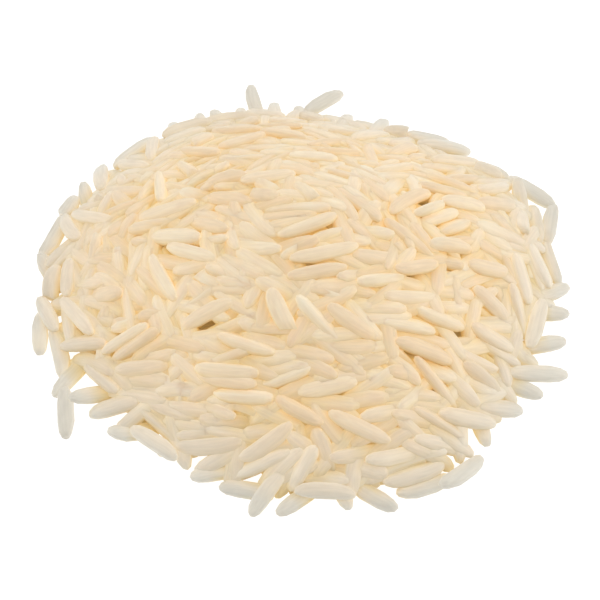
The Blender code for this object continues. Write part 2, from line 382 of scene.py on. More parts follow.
    def draw_sizes(self, rng: np.random.Generator) -> Sizes:
        """Draws length, width, thickness and kind of the next kernel."""
        length = self.length * (1.0 + self.length_spread * np.clip(rng.normal(), -2.0, 2.0))
        width = self.width * (1.0 + self.width_spread * np.clip(rng.normal(), -2.0, 2.0))
        kind = KernelKind.WHOLE
        if rng.random() < self.broken_share:
            length = length * rng.uniform(*self.broken_length)
            kind = KernelKind.BROKEN
        return length, width, width * self.thickness / self.width, kind

    def draw_headings(self, rng: np.random.Generator, x: float) -> Array:
        """Headings to try: most lie across the front view, or along the rim at both sides.

        Args:
            rng: source of the random draw.
            x: position of the kernel along X.

        Returns:
            Headings in radians.
        """
        turn = np.radians(rng.uniform(0.0, 180.0, self.headings_tried))
        lined_up = rng.random(self.headings_tried) < self.lined_up
        along = math.pi / 2.0 if abs(x) > self.side_reach * self.mound.radius else 0.0
        spread = self.heading_spread * rng.normal(size=self.headings_tried)
        return np.where(lined_up, along + spread, turn)

    @staticmethod
    def lean_of(stations: Array, lows: Array) -> float:
        """Slope at which a kernel comes to rest.

        It rests on one point on each side of its middle, those with the highest chord over
        the middle, or it rocks over its middle to the nearer side.

        Args:
            stations: positions along the kernel.
            lows: lowest heights of the axis at those positions.

        Returns:
            Rise of the axis over its run.
        """
        left = stations < -1e-9
        right = stations > 1e-9
        middle = lows[np.argmin(np.abs(stations))]
        left_s, left_h = stations[left][:, None], lows[left][:, None]
        right_s, right_h = stations[right][None, :], lows[right][None, :]
        chords = (left_h * right_s - right_h * left_s) / (right_s - left_s)
        row, column = np.unravel_index(np.argmax(chords), chords.shape)
        if chords[row, column] >= middle:
            return (right_h[0, column] - left_h[row, 0]) / (right_s[0, column] - left_s[row, 0])
        up = np.max((lows[right] - middle) / stations[right])
        down = np.min((lows[left] - middle) / stations[left])
        return up if abs(up) < abs(down) else down

    def settle(
        self,
        surface: HeapSurface,
        place: tuple[float, float],
        heading: float,
        sizes: Sizes,
        roll_noise: float,
    ) -> Kernel:
        """Lowers a kernel straight down onto the surface.

        The ground is read at thirteen places along the kernel and three across. The kernel
        leans sideways with the ground under its middle part, and lengthwise as lean_of says.

        Args:
            surface: the heap so far.
            place: position of the kernel's middle.
            heading: direction of its length.
            sizes: length, width, thickness and kind.
            roll_noise: extra turn round its length.

        Returns:
            The kernel at rest.
        """
        x, y = place
        length, width, thickness, kind = sizes
        shares = np.linspace(-self.probe_reach, self.probe_reach, 13)
        sides = self.probe_side * np.array([-1.0, 0.0, 1.0])
        along = 0.5 * length * shares
        across = 0.5 * width * sides
        cos, sin = math.cos(heading), math.sin(heading)
        grid_x = x + along[:, None] * cos - across[None, :] * sin
        grid_y = y + along[:, None] * sin + across[None, :] * cos
        ground = surface.sample(grid_x, grid_y)
        side_slope = (ground[3:10, 2].mean() - ground[3:10, 0].mean()) / (across[2] - across[0])
        side_slope = np.clip(self.roll_follow * side_slope, -self.steepest_roll, self.steepest_roll)
        roll = math.atan(float(side_slope)) + roll_noise
        lift = np.sqrt(np.maximum(0.0, kernel_bulge(shares)[:, None] ** 2 - sides[None, :] ** 2))
        lows = (ground + 0.5 * thickness * lift - math.tan(roll) * across[None, :]).max(axis=1)
        steepest = math.tan(self.steepest)
        slope = float(np.clip(self.lean_of(along, lows), -steepest, steepest))
        height = float(np.max(lows - slope * along))
        return Kernel(x, y, height, heading, math.atan(slope), roll, length, width, thickness, kind)

    def height_over_mound(self, kernel: Kernel) -> float:
        """How far a kernel's middle or either end stands above the mound."""
        along = 0.4 * kernel.length * np.array([-1.0, 0.0, 1.0])
        x = kernel.x + along * math.cos(kernel.heading)
        y = kernel.y + along * math.sin(kernel.heading)
        return float(np.max(kernel.z + math.tan(kernel.pitch) * along - self.mound.height_at(x, y)))

    def place_rim(self, surface: HeapSurface) -> list[Kernel]:
        """Lays the kernels of the rim on the floor.

        Args:
            surface: the empty heap, raised by what is laid.

        Returns:
            The kernels of the rim.
        """
        kernels = []
        for direction, distance, heading, length in self.rim:
            x = distance * MM * math.cos(math.radians(direction))
            y = distance * MM * math.sin(math.radians(direction))
            sizes = (length * MM, self.width, self.thickness, KernelKind.WHOLE)
            kernels.append(self.settle(surface, (x, y), math.radians(heading), sizes, 0.0))
            surface.add(kernels[-1])
        return kernels

    def fill(self, surface: HeapSurface, target: Array, rng: np.random.Generator) -> list[Kernel]:
        """Drops kernels where the surface is lowest under its marks, until none is too low.

        Args:
            surface: the heap so far, raised by what is dropped.
            target: marks to fill up to, one for each cell.
            rng: source of the random draw.

        Returns:
            The kernels that were dropped, in their order.
        """
        kernels = []
        target = target + self.jitter * rng.normal(size=target.shape) * (target > 0.0)
        while True:
            gap = target - surface.height
            row, column = np.unravel_index(np.argmax(gap), gap.shape)
            if gap[row, column] < self.stop_gap:
                return kernels
            place = (float(surface.x[row, column]), float(surface.y[row, column]))
            sizes = self.draw_sizes(rng)
            roll = self.roll_spread * rng.normal()
            headings = self.draw_headings(rng, place[0])
            tries = [self.settle(surface, place, turn, sizes, roll) for turn in headings]
            best = min(tries, key=self.height_over_mound)
            if self.height_over_mound(best) > self.highest_rest:
                hole = np.hypot(surface.x - place[0], surface.y - place[1]) < self.hole_skipped
                target[hole] = 0.0
                continue
            kernels.append(best)
            surface.add(best)

    def lie_in_mound(
        self,
        place: tuple[float, float],
        depth: float,
        heading: float,
        sizes: Sizes,
        tilts: tuple[float, float],
    ) -> Kernel:
        """Lays a kernel along the slope of the mound.

        Args:
            place: position of the kernel's middle.
            depth: how deep its top lies under the mound.
            heading: direction of its length.
            sizes: length, width, thickness and kind.
            tilts: extra pitch and roll.

        Returns:
            The kernel.
        """
        x, y = place
        length, width, thickness, kind = sizes
        step = 0.25 * length
        cos, sin = math.cos(heading), math.sin(heading)
        along = np.array([-step, 0.0, step])
        rise = self.mound.height_at(x + along * cos, y + along * sin)
        side = self.mound.height_at(x - along * sin, y + along * cos)
        pitch = math.atan((rise[2] - rise[0]) / (2.0 * step)) + tilts[0]
        roll = math.atan((side[2] - side[0]) / (2.0 * step)) + tilts[1]
        height = float(max(rise[1] - depth - 0.5 * thickness, 0.5 * thickness))
        return Kernel(x, y, height, heading, pitch, roll, length, width, thickness, kind)

    def draw_layer_headings(self, rng: np.random.Generator, place: tuple[float, float]) -> Array:
        """Headings to try in a layer: across the front view in the middle, any near the rim.

        Args:
            rng: source of the random draw.
            place: position of the kernel's middle.

        Returns:
            Headings in radians.
        """
        reach = math.hypot(*place) / self.mound.radius
        lined_up = rng.random(self.headings_tried) < self.bed_lined_up * (1.0 - reach**2)
        turn = rng.uniform(0.0, math.pi, self.headings_tried)
        return np.where(lined_up, self.bed_spread * rng.normal(size=self.headings_tried), turn)

    def fill_gaps(self, surface: HeapSurface, depth: float, rng: np.random.Generator) -> list[Kernel]:
        """Lays a layer of kernels in the gaps between the poured ones.

        Of the headings tried for a kernel, the one that lets it show most wins.

        Args:
            surface: the heap so far, raised by what is laid.
            depth: how deep under the mound the layer lies.
            rng: source of the random draw.

        Returns:
            The kernels of the layer.
        """
        kernels = []
        mound = self.mound.height_at(surface.x, surface.y)
        target = np.where(mound > self.bed_edge, mound - depth, 0.0)
        while True:
            gap = target - surface.height
            row, column = np.unravel_index(np.argmax(gap), gap.shape)
            if gap[row, column] < self.bed_gap:
                return kernels
            place = (float(surface.x[row, column]), float(surface.y[row, column]))
            sizes = self.draw_sizes(rng)
            tilts = (self.bed_tilts[0] * rng.normal(), self.bed_tilts[1] * rng.normal())
            turns = self.draw_layer_headings(rng, place)
            tries = [self.lie_in_mound(place, depth, turn, sizes, tilts) for turn in turns]
            best = max(tries, key=surface.shown)
            target[row, column] = 0.0
            if surface.shown(best) < self.least_shown:
                hole = np.hypot(surface.x - place[0], surface.y - place[1]) < self.hole_skipped
                target[hole] = 0.0
                continue
            kernels.append(best)
            surface.add(best)

    def place_skyline(self) -> list[Kernel]:
        """Lays the kernels of the skyline along the back of the mound."""
        kernels = []
        sizes = (self.length, self.width, self.thickness, KernelKind.WHOLE)
        tilts = (self.skyline_tilt, 0.0)
        for direction, distance, heading in self.skyline:
            x = distance * MM * math.cos(math.radians(direction))
            y = distance * MM * math.sin(math.radians(direction))
            turn = math.radians(heading)
            kernels.append(self.lie_in_mound((x, y), -self.skyline_height, turn, sizes, tilts))
        return kernels

    def pour(self) -> tuple[list[Kernel], HeapSurface]:
        """Pours the heap from its rim to its summit.

        Returns:
            The kernels and the final surface.
        """
        rng = np.random.default_rng(self.seed)
        x, y = HeapSurface.grid(self.reach, self.cell)
        mound = self.mound.height_at(x, y)
        surface = HeapSurface(np.maximum(mound - self.depth, 0.0), self.reach, self.cell)
        kernels = self.place_rim(surface)
        kernels += self.fill(surface, mound, rng)
        for depth in self.bed_depths:
            kernels += self.fill_gaps(surface, depth, rng)
        kernels += self.place_skyline()
        return kernels, surface

    def pour_base(self, radius: float) -> list[Kernel]:
        """Lays kernels on the floor under the core, which show from below.

        Args:
            radius: how far out they lie.

        Returns:
            The kernels under the core.
        """
        rng = np.random.default_rng(self.seed + 1)
        x, y = HeapSurface.grid(self.reach, self.cell)
        surface = HeapSurface(np.zeros_like(x), self.reach, self.cell)
        top = np.where(np.hypot(x, y) < radius, self.base_depth * self.thickness, 0.0)
        return self.fill(surface, top, rng)


@dataclass(frozen=True)
class KernelForm:
    """The shape of one kernel, a closed surface round a short axis of length two.

    The half width follows kernel_bulge. The section is an ellipse whose radius dips at its four
    sides with the cosine of four times the turn. One corner of the blunt end is cut back, where
    the germ sat. A broken kernel ends in a rough flat face.

    Attributes:
        kind: whole or broken.
        sides: points round the kernel.
        rings: rings of points between both tips.
        flatness: how far the four sides dip, as a share of the radius.
        bluntness, sharpness: powers of the bulge at the blunt and at the narrow end.
        germ_cut: how far the germ's corner is cut back at the tip.
        germ_start: where the cut starts, as a share of the half length.
        break_at: where a broken kernel ends, as a share of its half length.
        break_waves: how rough its broken face is, once and twice round.
        crowding: how far the rings keep to the middle; less crowds them towards the tips.
    """

    kind: KernelKind
    sides: int = 8
    rings: int = 6
    flatness: float = 0.075
    bluntness: float = 5.0
    sharpness: float = 3.2
    germ_cut: float = 0.5
    germ_start: float = 0.45
    break_at: float = 0.62
    break_waves: tuple[float, float] = (0.10, 0.05)
    crowding: float = 0.7

    def stations(self) -> Array:
        """Places of the rings along the axis, closer together towards the tips."""
        if self.kind is KernelKind.WHOLE:
            even = -np.cos(np.pi * np.arange(1, self.rings + 1) / (self.rings + 1))
            return np.sign(even) * np.abs(even) ** self.crowding
        turn = np.linspace(0.35, 2.25, self.rings)
        return np.cos(turn) * self.break_at / math.cos(2.25)

    def points(self) -> Array:
        """Points of the surface, tip, rings and tip.

        Returns:
            An array of points: along, across and up, each within -1..1.
        """
        station = self.stations()[:, None]
        turn = 2.0 * np.pi * np.arange(self.sides)[None, :] / self.sides
        blunt = np.where(station > 0.0, self.bluntness, self.sharpness)
        squarish = (1.0 - self.flatness * np.cos(4.0 * turn)) / (1.0 - self.flatness)
        size = kernel_bulge(station, blunt) * squarish
        towards_tip = np.clip((station - self.germ_start) / (1.0 - self.germ_start), 0.0, 1.0)
        cut = 1.0 - self.germ_cut * towards_tip * (np.cos(turn) > 0.3)
        across = size * cut * np.cos(turn)
        up = size * np.sin(turn)
        along = station + 0.0 * turn
        tips = [-1.0, 1.0]
        if self.kind is KernelKind.BROKEN:
            end = station > 0.999 * self.break_at
            once, twice = self.break_waves
            along = along + end * (once * np.cos(turn) + twice * np.sin(2.0 * turn))
            tips = [-1.0, self.break_at + 0.02]
        rings = np.stack([along, across, up], axis=-1).reshape(-1, 3)
        first = np.array([[tips[0], 0.0, 0.0]])
        last = np.array([[tips[1], 0.0, 0.0]])
        points = np.concatenate([first, rings, last])
        middle = 0.5 * (points[:, 0].max() + points[:, 0].min())
        reach = 0.5 * (points[:, 0].max() - points[:, 0].min())
        points[:, 0] = (points[:, 0] - middle) / reach
        return points

    def quads(self) -> Whole:
        """Corners of the four-sided faces between the rings."""
        ring = np.arange(self.rings - 1)[:, None] * self.sides + 1
        side = np.arange(self.sides)[None, :]
        after = (side + 1) % self.sides
        corners = [ring + side, ring + after, ring + self.sides + after, ring + self.sides + side]
        return np.stack(corners, axis=-1).reshape(-1, 4)

    def triangles(self) -> Whole:
        """Corners of the three-sided faces at both tips."""
        side = np.arange(self.sides)
        after = (side + 1) % self.sides
        outer = 1 + (self.rings - 1) * self.sides
        last = outer + self.sides
        first_tip = np.stack([np.zeros_like(side), 1 + after, 1 + side], axis=-1)
        last_tip = np.stack([np.full_like(side, last), outer + side, outer + after], axis=-1)
        return np.concatenate([first_tip, last_tip])


def mesh_from_arrays(name: str, points: Array, faces: list[Whole]) -> bpy.types.Object:
    """Makes a smooth mesh object from arrays.

    Args:
        name: name of the object.
        points: places of the vertices.
        faces: arrays of face corners, each with one number of corners.

    Returns:
        The object, linked to the scene at the origin.
    """
    sizes = np.concatenate([np.full(len(part), part.shape[1]) for part in faces])
    corners = np.concatenate([part.ravel() for part in faces])
    starts = np.concatenate([[0], np.cumsum(sizes)[:-1]])
    mesh = bpy.data.meshes.new(name)
    mesh.vertices.add(len(points))
    mesh.vertices.foreach_set("co", points.ravel())
    mesh.loops.add(len(corners))
    mesh.loops.foreach_set("vertex_index", corners.astype(np.int32))
    mesh.polygons.add(len(sizes))
    mesh.polygons.foreach_set("loop_start", starts.astype(np.int32))
    mesh.polygons.foreach_set("use_smooth", np.ones(len(sizes), dtype=bool))
    mesh.update(calc_edges=True)
    mesh.validate()
    piece = bpy.data.objects.new(name, mesh)
    bpy.context.scene.collection.objects.link(piece)
    return piece


def set_attribute(piece: bpy.types.Object, name: str, values: Array) -> None:
    """Stores one number or one vector for each vertex.

    Args:
        piece: the object.
        name: name of the attribute.
        values: an array of numbers, or of rows of three.
    """
    kind, key = ("FLOAT_VECTOR", "vector") if values.ndim == 2 else ("FLOAT", "value")
    attribute = piece.data.attributes.new(name, kind, "POINT")
    attribute.data.foreach_set(key, values.astype(np.float32).ravel())


def srgb(red: int, green: int, blue: int) -> Color:
    """A colour of the screen, 0..255, as the linear colour that a shader takes."""
    shares = np.array([red, green, blue]) / 255.0
    linear = np.where(shares <= 0.04045, shares / 12.92, ((shares + 0.055) / 1.055) ** 2.4)
    return float(linear[0]), float(linear[1]), float(linear[2]), 1.0


class NodeWeb:
    """Short ways to add and join shader nodes in one tree."""

    def __init__(self, tree: bpy.types.NodeTree) -> None:
        """Keeps the tree that the nodes go into."""
        self.tree = tree

    def add(self, kind: str) -> bpy.types.Node:
        """Adds a node of a kind."""
        return self.tree.nodes.new(kind)

    def link(self, source: Socket, target: Socket) -> None:
        """Joins an output to an input."""
        self.tree.links.new(source, target)

    def feed(self, socket: Socket, value: Socket | Color | float) -> None:
        """Links a socket, or sets a plain value on it."""
        if isinstance(value, Socket):
            self.link(value, socket)
        else:
            socket.default_value = value

    def attribute(self, name: str, output: str) -> Socket:
        """Reads an attribute of the mesh."""
        node = self.add("ShaderNodeAttribute")
        node.attribute_name = name
        return node.outputs[output]

    def noise(self, place: Socket, scale: float, detail: float) -> Socket:
        """Soft noise at a place, 0..1."""
        node = self.add("ShaderNodeTexNoise")
        node.inputs["Scale"].default_value = scale
        node.inputs["Detail"].default_value = detail
        self.link(place, node.inputs["Vector"])
        return node.outputs["Fac"]

    def stretched(self, place: Socket, scale: tuple[float, float, float]) -> Socket:
        """A place stretched along its axes."""
        node = self.add("ShaderNodeMapping")
        node.inputs["Scale"].default_value = scale
        self.link(place, node.inputs["Vector"])
        return node.outputs["Vector"]

    def mapped(self, value: Socket, source: tuple[float, float], target: tuple[float, float]) -> Socket:
        """A value carried from one range into another, held at its ends."""
        node = self.add("ShaderNodeMapRange")
        node.inputs["From Min"].default_value = source[0]
        node.inputs["From Max"].default_value = source[1]
        node.inputs["To Min"].default_value = target[0]
        node.inputs["To Max"].default_value = target[1]
        self.link(value, node.inputs["Value"])
        return node.outputs["Result"]

    def ramp(self, value: Socket, stops: tuple[tuple[float, Color], ...]) -> Socket:
        """Turns a value into a colour that runs through the stops.

        Args:
            value: the value, 0..1.
            stops: places and colours.

        Returns:
            The colour.
        """
        node = self.add("ShaderNodeValToRGB")
        elements = node.color_ramp.elements
        while len(elements) < len(stops):
            elements.new(1.0)
        for element, (place, color) in zip(elements, stops):
            element.position = place
            element.color = color
        self.link(value, node.inputs["Fac"])
        return node.outputs["Color"]

    def math(self, operation: str, first: Socket | float, second: Socket | float) -> Socket:
        """A sum, product or the like of two values."""
        node = self.add("ShaderNodeMath")
        node.operation = operation
        self.feed(node.inputs[0], first)
        self.feed(node.inputs[1], second)
        return node.outputs["Value"]

    def mix(self, share: Socket, first: Socket | Color, second: Socket | Color) -> Socket:
        """A mix of two colours."""
        node = self.add("ShaderNodeMix")
        node.data_type = "RGBA"
        self.feed(node.inputs["Factor"], share)
        self.feed(node.inputs[6], first)
        self.feed(node.inputs[7], second)
        return node.outputs[2]

    def blend_value(self, first: float, second: Socket, share: Socket) -> Socket:
        """A mix of two values."""
        node = self.add("ShaderNodeMix")
        node.data_type = "FLOAT"
        self.feed(node.inputs["Factor"], share)
        self.feed(node.inputs[2], first)
        self.feed(node.inputs[3], second)
        return node.outputs[0]

    def vector_math(self, operation: str, first: Socket, second: Socket | float | None) -> Socket:
        """A vector or colour added to another, multiplied, scaled by a value, or normalized."""
        node = self.add("ShaderNodeVectorMath")
        node.operation = operation
        self.feed(node.inputs[0], first)
        if second is not None:
            self.feed(node.inputs["Scale" if operation == "SCALE" else 1], second)
        return node.outputs["Vector"]


@dataclass(frozen=True)
class RiceTone:
    """Colours of rice and how they change through the heap.

    A kernel alone on the floor is a pale greyish white. Among others it is cream, because light reaches it
    through its neighbours.
    Deep between them a painted shade, golden and darker, stands for the shade there and the golden light
    that comes through the kernels.

    Attributes:
        cream: the lightest kernels on the heap.
        warm: the clearest kernels on the heap, which let the golden light through.
        pale: kernels alone at the rim.
        gap_shade_tints: painted shade that the colour is multiplied by, golden and darker from the surface
            down to the deepest gaps.
        chalk: opaque white spots.
        light: darkest and lightest kernel, as factors of the colour.
        mottle: the same for the soft clouds on a kernel.
        streak: the same for the fine streaks along it.
        roughness: roughness between and on the streaks.
        softness: how far light spreads round a kernel.
        group_name: name of the node group.
    """

    cream: Color = srgb(250, 231, 205)
    warm: Color = srgb(250, 226, 193)
    pale: Color = srgb(230, 225, 213)
    gap_shade_tints: tuple[tuple[float, Color], ...] = (
        (0.0, (1.0, 1.0, 1.0, 1.0)),
        (0.2, (0.97, 0.93, 0.79, 1.0)),
        (0.45, (0.92, 0.83, 0.56, 1.0)),
        (0.75, (0.80, 0.67, 0.32, 1.0)),
        (1.0, (0.60, 0.47, 0.19, 1.0)),
    )
    chalk: Color = srgb(250, 238, 216)
    light: tuple[float, float] = (0.95, 1.02)
    mottle: tuple[float, float] = (0.975, 1.02)
    streak: tuple[float, float] = (0.95, 1.03)
    roughness: tuple[float, float] = (0.34, 0.46)
    softness: float = 0.3
    group_name: str = "rice_tone"

    def build(self) -> bpy.types.ShaderNodeTree:
        """Builds the node group that every rice material shares.

        Its inputs are how strongly the tone varies and how much chalk shows. Its outputs are
        the colour, a roughness, a height for the relief and the softened normal.

        Returns:
            The node group.
        """
        tree = bpy.data.node_groups.new(self.group_name, "ShaderNodeTree")
        for name, value in (("Variation", 0.5), ("Chalk", 1.0)):
            socket = tree.interface.new_socket(name, in_out="INPUT", socket_type="NodeSocketFloat")
            socket.default_value = value
        kinds = {"Color": "Color", "Roughness": "Float", "Height": "Float", "Normal": "Vector"}
        for name, kind in kinds.items():
            tree.interface.new_socket(name, in_out="OUTPUT", socket_type=f"NodeSocket{kind}")
        web = NodeWeb(tree)
        inputs = web.add("NodeGroupInput")
        outputs = web.add("NodeGroupOutput")
        place = web.attribute("kernel_space", "Vector")
        clouds = web.noise(place, scale=0.5, detail=2.0)
        streaks = web.noise(web.stretched(place, (0.25, 2.2, 2.2)), scale=1.6, detail=3.0)
        tone = web.attribute("tone", "Fac")
        inside = web.mix(tone, self.warm, self.cream)
        base = web.mix(web.attribute("among", "Fac"), self.pale, inside)
        light = web.mapped(tone, (0.0, 1.0), self.light)
        mottle = web.mapped(clouds, (0.3, 0.7), self.mottle)
        streak = web.mapped(streaks, (0.35, 0.65), self.streak)
        shade = web.math("MULTIPLY", web.math("MULTIPLY", light, mottle), streak)
        varied = web.blend_value(1.0, shade, inputs.outputs["Variation"])
        toned = web.vector_math("SCALE", base, varied)
        # Painted shade: the depth attribute picks a darker golden tint for gaps and undersides, standing
        # for shade and the light that comes through the kernels.
        gap_shade = web.ramp(web.attribute("depth", "Fac"), self.gap_shade_tints)
        golden = web.vector_math("MULTIPLY", toned, gap_shade)
        spot = web.math("MULTIPLY", web.attribute("chalk", "Fac"), inputs.outputs["Chalk"])
        chalky = web.mix(spot, golden, self.chalk)
        web.link(chalky, outputs.inputs["Color"])
        web.link(web.mapped(streaks, (0.3, 0.7), self.roughness), outputs.inputs["Roughness"])
        web.link(streaks, outputs.inputs["Height"])
        web.link(self.softened_normal(web), outputs.inputs["Normal"])
        return tree

    def softened_normal(self, web: NodeWeb) -> Socket:
        """The surface's normal leant towards the top of its kernel.

        Light that enters a translucent kernel spreads through its whole width, so its sides are
        nearly as bright as its top. The normal plus a share of the kernel's upward direction
        gives that.

        Args:
            web: the tree of the node group.

        Returns:
            The normal.
        """
        upward = web.vector_math("SCALE", web.attribute("upward", "Vector"), self.softness)
        geometry = web.add("ShaderNodeNewGeometry")
        leant = web.vector_math("ADD", geometry.outputs["Normal"], upward)
        return web.vector_math("NORMALIZE", leant, None)


@dataclass(frozen=True)
class RiceFinish:
    """The surface of milled rice: dry, softly glossy and translucent.

    Attributes:
        name: name of the material.
        variation: how far tone varies from kernel to kernel.
        chalk: how much of the chalk shows.
        translucency: share of light that goes through the rice.
        scatter: how far it goes.
        reach: how far red, green and blue go, as shares of that.
        relief: height of the fine ridges along a kernel.
        gloss: specular level.
    """

    name: str
    variation: float = 1.0
    chalk: float = 1.0
    translucency: float = 0.5
    scatter: float = 0.3 * MM
    reach: tuple[float, float, float] = (1.0, 0.95, 0.9)
    relief: float = 0.02 * MM
    gloss: float = 0.3

    def build(self, tone: bpy.types.ShaderNodeTree) -> bpy.types.Material:
        """Builds the material.

        Args:
            tone: the shared node group of rice colours.

        Returns:
            The material.
        """
        material = bpy.data.materials.new(self.name)
        material.use_nodes = True
        web = NodeWeb(material.node_tree)
        shader = material.node_tree.nodes["Principled BSDF"]
        group = web.add("ShaderNodeGroup")
        group.node_tree = tone
        group.inputs["Variation"].default_value = self.variation
        group.inputs["Chalk"].default_value = self.chalk
        bump = web.add("ShaderNodeBump")
        bump.inputs["Distance"].default_value = self.relief
        bump.inputs["Strength"].default_value = 1.0
        web.link(group.outputs["Height"], bump.inputs["Height"])
        web.link(group.outputs["Normal"], bump.inputs["Normal"])
        web.link(group.outputs["Color"], shader.inputs["Base Color"])
        web.link(group.outputs["Roughness"], shader.inputs["Roughness"])
        web.link(bump.outputs["Normal"], shader.inputs["Normal"])
        shader.inputs["Metallic"].default_value = 0.0
        shader.inputs["Specular IOR Level"].default_value = self.gloss
        shader.inputs["Subsurface Weight"].default_value = self.translucency
        shader.inputs["Subsurface Radius"].default_value = self.reach
        shader.inputs["Subsurface Scale"].default_value = self.scatter
        return material


@dataclass
class KernelPile:
    """All kernels of one kind, joined in one piece.

    Attributes:
        form: the shape of one kernel.
        pouring: the rule that poured them, for its mound.
        stretch: length, width and thickness of a kernel as shares of its poured sizes.
        slack: how far a kernel may stand out of the box of the solid.
        bend: how far a kernel's middle may stand out of its axis, as a share of its length.
        sink: how far the pile is pressed down.
        level_width: width over which the heap's surface is averaged to tell the depth.
        deep: depth under that surface at which the painted golden shade is full.
        underside_shade: how strong the painted golden shade on a kernel's own underside is.
        among_height: height of the mound from which a kernel is wholly among others.
        alone: share of the painted shade of depth that is left where a kernel lies alone.
        chalk_share: share of kernels with a chalky spot.
        chalk_strength: how strong the weakest and the strongest spot are.
        chalk_width: half width of a spot, as a share of a kernel's half length.
        long_space: how much longer than wide the material's own space of a kernel is.
    """

    form: KernelForm
    pouring: Pouring
    stretch: tuple[float, float, float] = (1.09, 0.98, 0.95)
    slack: float = 0.3 * MM
    bend: float = 0.03
    sink: float = 0.15 * MM
    level_width: float = 5.0 * MM
    deep: float = 1.35 * MM
    underside_shade: float = 0.8
    among_height: float = 6.0 * MM
    alone: float = 0.4
    chalk_share: float = 0.12
    chalk_strength: tuple[float, float] = (0.2, 0.7)
    chalk_width: float = 0.35
    long_space: float = 3.4

    def turns(self, kernels: list[Kernel]) -> Array:
        """Turning matrices: roll about the length, then pitch, then heading.

        Args:
            kernels: the kernels.

        Returns:
            One three by three matrix for each kernel.
        """
        heading = np.array([kernel.heading for kernel in kernels])
        pitch = np.array([kernel.pitch for kernel in kernels])
        roll = np.array([kernel.roll for kernel in kernels])
        length_axis = [np.cos(pitch) * np.cos(heading), np.cos(pitch) * np.sin(heading), np.sin(pitch)]
        level_axis = [-np.sin(heading), np.cos(heading), np.zeros_like(heading)]
        first = np.stack(length_axis, axis=-1)
        level = np.stack(level_axis, axis=-1)
        upright = np.cross(first, level)
        cos, sin = np.cos(roll)[:, None], np.sin(roll)[:, None]
        second = cos * level + sin * upright
        third = cos * upright - sin * level
        return np.stack([first, second, third], axis=-1)

    def places(self, kernels: list[Kernel], rng: np.random.Generator) -> Array:
        """Vertices of all kernels: the form scaled, bent, turned and moved to its place.

        The bend shifts a point across by the bend times one minus the square of its share
        along. A kernel that would dip under the floor or stand out of the solid's box is
        moved in.

        Args:
            kernels: the kernels.
            rng: source of the random draw.

        Returns:
            An array of kernels by points by three.
        """
        unit = self.form.points()
        sizes = np.array([[kernel.length, kernel.width, kernel.thickness] for kernel in kernels])
        sizes = sizes * np.array(self.stretch)
        middles = np.array([[kernel.x, kernel.y, kernel.z - self.sink] for kernel in kernels])
        flips = rng.choice([-1.0, 1.0], size=(len(kernels), 1))
        local = 0.5 * sizes[:, None, :] * unit[None, :, :]
        bow = self.bend * rng.normal(size=(len(kernels), 1)) * sizes[:, :1]
        local[..., 1] += bow * (1.0 - unit[None, :, 0] ** 2)
        local[..., 0] *= flips
        local[..., 1] *= flips
        points = np.einsum("kij,kvj->kvi", self.turns(kernels), local) + middles[:, None, :]
        low, high = np.array(CAD_BOX) + self.slack * np.array([[-1.0, -1.0, 0.0], [1.0, 1.0, 1.0]])
        inward = np.maximum(low - points.min(axis=1), 0.0) + np.minimum(high - points.max(axis=1), 0.0)
        points += inward[:, None, :]
        return points

    def draw_chalk(self, along: Array, count: int, rng: np.random.Generator) -> Array:
        """Chalky spots: on some kernels a bell curve round a place on their length.

        Args:
            along: places of a kernel's points on its length, -1..1.
            count: number of kernels.
            rng: source of the random draw.

        Returns:
            Strength of the chalk, kernels by points.
        """
        spot = rng.uniform(-0.9, 0.9, (count, 1))
        chosen = rng.random((count, 1)) < self.chalk_share
        strength = chosen * rng.uniform(*self.chalk_strength, (count, 1))
        return strength * np.exp(-(((along - spot) / self.chalk_width) ** 2))

    def surroundings(
        self, piece: bpy.types.Object, points: Array, surface: HeapSurface
    ) -> tuple[Array, Array]:
        """How far each point is among other kernels, and how much painted shade it gets.

        The share of painted shade, golden and darker, grows with a point's depth under the averaged surface
        or where it faces down.
        Both count less at the rim, where light reaches a kernel from all sides. The powers
        shape how fast each of them sets in.

        Args:
            piece: the joined kernels.
            points: their vertices, kernels by points by three.
            surface: the poured surface.

        Returns:
            Both values, 0..1, kernels by points.
        """
        x, y, z = points[..., 0], points[..., 1], points[..., 2]
        level = surface.averaged(self.level_width)[surface.index(x), surface.index(y)]
        # Painted shade: the deeper a point lies under the averaged surface, the darker and more golden its
        # colour.
        deep = np.clip((level - z) / self.deep, 0.0, 1.0) ** 1.2
        # Painted shade on a kernel's underside, by how far its normal faces down.
        normals = np.empty(points.size, dtype=np.float32)
        piece.data.vertex_normals.foreach_get("vector", normals)
        under = np.clip(0.5 - 0.5 * normals[2::3].reshape(x.shape), 0.0, 1.0)
        height = self.pouring.mound.height_at(x, y)
        among = np.clip(height / self.among_height, 0.0, 1.0) ** 0.7
        deep = deep * (self.alone + (1.0 - self.alone) * among)
        return among, np.maximum(deep, self.underside_shade * under**1.5 * among)

    def dress(
        self,
        piece: bpy.types.Object,
        kernels: list[Kernel],
        points: Array,
        surface: HeapSurface,
        rng: np.random.Generator,
    ) -> None:
        """Stores what the material reads: the kernel's own space, tone, chalk and surroundings, with the
        share of painted shade.

        Args:
            piece: the joined kernels.
            kernels: the kernels, in the piece's order.
            points: their vertices, kernels by points by three.
            surface: the poured surface.
            rng: source of the random draw.
        """
        count, size = points.shape[:2]
        unit = self.form.points()
        space = unit[None] * np.array([self.long_space, 1.0, 1.0]) + 20.0 * rng.random((count, 1, 3))
        set_attribute(piece, "kernel_space", space.reshape(-1, 3))
        set_attribute(piece, "tone", np.repeat(rng.random(count), size))
        set_attribute(piece, "upward", np.repeat(self.turns(kernels)[:, :, 2], size, axis=0))
        set_attribute(piece, "chalk", self.draw_chalk(unit[None, :, 0], count, rng).ravel())
        among, depth = self.surroundings(piece, points, surface)
        # The depth attribute carries the share of painted golden shade.
        set_attribute(piece, "depth", depth.ravel())
        set_attribute(piece, "among", among.ravel())

